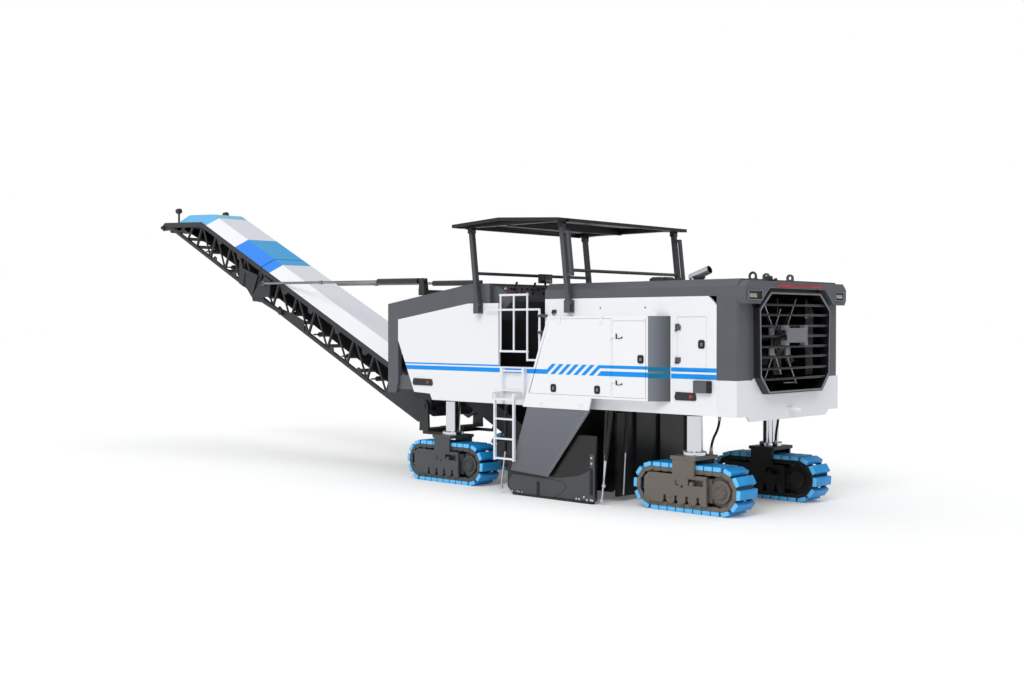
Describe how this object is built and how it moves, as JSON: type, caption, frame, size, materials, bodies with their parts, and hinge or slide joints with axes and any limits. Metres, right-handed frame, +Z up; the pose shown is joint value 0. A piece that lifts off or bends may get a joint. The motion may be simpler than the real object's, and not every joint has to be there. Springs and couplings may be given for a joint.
{
  "type": "cold planer milling machine",
  "caption": "Road milling machine on crawler tracks with a milling drum, folding canopy and a long folding discharge conveyor.",
  "frame": {"origin": "on the ground, at the middle of the machine's length and width", "axes": "+X forward, towards the conveyor's head; +Y to the left; +Z up"},
  "size_m": [14.9657, 3.08, 4.9095],
  "materials": {
    "white_paint": "gloss",
    "dark_paint": "satin",
    "grey_paint": "satin",
    "blue_paint": "gloss",
    "shoe_polyurethane": "matte",
    "polished_steel": "polished",
    "bare_steel": "brushed",
    "black_rubber": "matte",
    "seat_vinyl": "matte",
    "machined_iron": "cast"
  },
  "bodies": {
    "chassis": {"main_frame": "dark_paint", "side_panels": "white_paint", "side_box": "white_paint", "engine_hood": "grey_paint", "rear_cowl": "grey_paint", "front_cowl": "grey_paint", "radiator_grille": "dark_paint", "radiator": "grey_paint", "engine_block": "machined_iron", "operator_deck": "dark_paint", "operator_consoles": "dark_paint", "display_monitor": "dark_paint", "operator_seats": "seat_vinyl", "ladder_frames": "white_paint", "exhaust_pipe": "bare_steel", "drum_housing": "dark_paint", "scraper_door": "dark_paint", "pickup_conveyor": "dark_paint", "hose_front_left": "black_rubber", "hose_front_right": "black_rubber", "hose_rear_left": "black_rubber", "hose_rear_right": "black_rubber"},
    "fan": {"cooling_fan": "dark_paint"},
    "drum": {"milling_drum": "machined_iron"},
    "door_rear_left": {"rear_door_left": "white_paint"},
    "door_rear_right": {"rear_door_right": "white_paint"},
    "case_lid": {"side_lid": "white_paint"},
    "case_door": {"side_door": "white_paint"},
    "gate_left": {"gate_left": "white_paint"},
    "gate_right": {"gate_right": "white_paint"},
    "ladder_left": {"ladder_left": "white_paint"},
    "ladder_right": {"ladder_right": "white_paint"},
    "canopy_front": {"canopy_front_posts": "grey_paint"},
    "canopy_rear": {"canopy_rear_posts": "grey_paint"},
    "canopy_top": {"canopy_roof": "dark_paint"},
    "edge_left": {"edge_plate_left": "dark_paint"},
    "edge_right": {"edge_plate_right": "dark_paint"},
    "conveyor_turntable": {"conveyor_seat": "dark_paint", "conveyor_mast": "dark_paint"},
    "conveyor_inner": {"conveyor_inner_frame": "dark_paint", "conveyor_belt_inner": "black_rubber", "cover_inner": "white_paint"},
    "conveyor_outer": {"conveyor_outer_frame": "dark_paint", "conveyor_belt_outer": "black_rubber", "cover_outer": "blue_paint"},
    "stay_barrels": {"stay_cylinders": "dark_paint"},
    "stay_bars": {"stay_rods": "polished_steel"},
    "steer_front_left": {"column_front_left": "polished_steel", "track_frame_front_left": "dark_paint", "track_front_left": "shoe_polyurethane"},
    "steer_front_right": {"column_front_right": "polished_steel", "track_frame_front_right": "dark_paint", "track_front_right": "shoe_polyurethane"},
    "steer_rear_left": {"column_rear_left": "polished_steel", "track_frame_rear_left": "dark_paint", "track_rear_left": "shoe_polyurethane"},
    "steer_rear_right": {"column_rear_right": "polished_steel", "track_frame_rear_right": "dark_paint", "track_rear_right": "shoe_polyurethane"}
  },
  "joints": [
    {"name": "steer_front_left", "type": "hinge", "parent": "chassis", "child": "steer_front_left", "pos_m": [-1.81, 0.947, 1], "axis": [0, 0, 1], "range_deg": [-20, 20]},
    {"name": "steer_front_right", "type": "hinge", "parent": "chassis", "child": "steer_front_right", "pos_m": [-1.81, -0.947, 1], "axis": [0, 0, 1], "range_deg": [-20, 20]},
    {"name": "steer_rear_left", "type": "hinge", "parent": "chassis", "child": "steer_rear_left", "pos_m": [-6.45, 0.947, 1], "axis": [0, 0, 1], "range_deg": [-20, 20]},
    {"name": "steer_rear_right", "type": "hinge", "parent": "chassis", "child": "steer_rear_right", "pos_m": [-6.45, -0.947, 1], "axis": [0, 0, 1], "range_deg": [-20, 20]},
    {"name": "drum_spin", "type": "hinge", "parent": "chassis", "child": "drum", "pos_m": [-4.22, 0, 0.56], "axis": [0, 1, 0], "continuous": true},
    {"name": "fan_spin", "type": "hinge", "parent": "chassis", "child": "fan", "pos_m": [-7.146, 0, 2.33], "axis": [1, 0, 0], "continuous": true},
    {"name": "rear_door_left_swing", "type": "hinge", "parent": "chassis", "child": "door_rear_left", "pos_m": [-6.398, 1.29, 2.24], "axis": [0, 0, -1], "range_deg": [0, 110]},
    {"name": "rear_door_right_swing", "type": "hinge", "parent": "chassis", "child": "door_rear_right", "pos_m": [-6.398, -1.29, 2.24], "axis": [0, 0, 1], "range_deg": [0, 110]},
    {"name": "case_door_swing", "type": "hinge", "parent": "chassis", "child": "case_door", "pos_m": [-5.459, 1.475, 2.04], "axis": [0, 0, -1], "range_deg": [0, 110]},
    {"name": "case_lid_lift", "type": "hinge", "parent": "chassis", "child": "case_lid", "pos_m": [-4.88, 1.475, 2.598], "axis": [1, 0, 0], "range_deg": [0, 90]},
    {"name": "gate_left_swing", "type": "hinge", "parent": "chassis", "child": "gate_left", "pos_m": [-4.01, 1.33, 2.3], "axis": [0, 0, 1], "range_deg": [0, 90]},
    {"name": "gate_right_swing", "type": "hinge", "parent": "chassis", "child": "gate_right", "pos_m": [-4.01, -1.33, 2.3], "axis": [0, 0, -1], "range_deg": [0, 90]},
    {"name": "ladder_left_lift", "type": "hinge", "parent": "chassis", "child": "ladder_left", "pos_m": [-3.47, 1.5, 1.46], "axis": [1, 0, 0], "range_deg": [0, 170]},
    {"name": "ladder_right_lift", "type": "hinge", "parent": "chassis", "child": "ladder_right", "pos_m": [-3.47, -1.5, 1.46], "axis": [-1, 0, 0], "range_deg": [0, 170]},
    {"name": "canopy_fold", "type": "hinge", "parent": "chassis", "child": "canopy_front", "pos_m": [-2.75, 0, 2.8], "axis": [0, 1, 0], "range_deg": [0, 39]},
    {"name": "canopy_rear_fold", "type": "hinge", "parent": "chassis", "child": "canopy_rear", "pos_m": [-4.57, 0, 2.8], "axis": [0, 1, 0], "range_deg": [0, 39]},
    {"name": "canopy_level", "type": "hinge", "parent": "canopy_front", "child": "canopy_top", "pos_m": [-2.62, 0, 3.915], "axis": [0, 1, 0], "range_deg": [-39, 0]},
    {"name": "edge_left_lift", "type": "slide", "parent": "chassis", "child": "edge_left", "axis": [0, 0, 1], "range_m": [0, 0.29]},
    {"name": "edge_right_lift", "type": "slide", "parent": "chassis", "child": "edge_right", "axis": [0, 0, 1], "range_m": [0, 0.29]},
    {"name": "conveyor_slew", "type": "hinge", "parent": "chassis", "child": "conveyor_turntable", "pos_m": [-0.79, 0, 1], "axis": [0, 0, 1], "range_deg": [-45, 45]},
    {"name": "conveyor_luff", "type": "hinge", "parent": "conveyor_turntable", "child": "conveyor_inner", "pos_m": [-0.79, 0, 1.14], "axis": [0, -1, 0], "range_deg": [-8, 6]},
    {"name": "conveyor_fold", "type": "hinge", "parent": "conveyor_inner", "child": "conveyor_outer", "pos_m": [4.13806, 0, 2.99939], "axis": [0, 1, 0], "range_deg": [0, 70]},
    {"name": "stay_swing", "type": "hinge", "parent": "conveyor_turntable", "child": "stay_barrels", "pos_m": [-0.79, 0, 3.22], "axis": [0, -1, 0], "range_deg": [-8.2, 6.3]},
    {"name": "stay_stroke", "type": "slide", "parent": "stay_barrels", "child": "stay_bars", "axis": [0.9999, 0, 0.0137], "range_m": [-0.225, 0.3]}
  ],
  "couplings": [
    {"joint": "steer_front_right", "follows": "steer_front_left", "ratio": 1},
    {"joint": "steer_rear_right", "follows": "steer_rear_left", "ratio": 1},
    {"joint": "canopy_rear_fold", "follows": "canopy_fold", "ratio": 1},
    {"joint": "canopy_level", "follows": "canopy_fold", "ratio": -1},
    {"joint": "stay_swing", "follows": "conveyor_luff", "ratio": 1},
    {"joint": "stay_stroke", "follows": "conveyor_luff", "m_per_rad": -2.077}
  ]
}
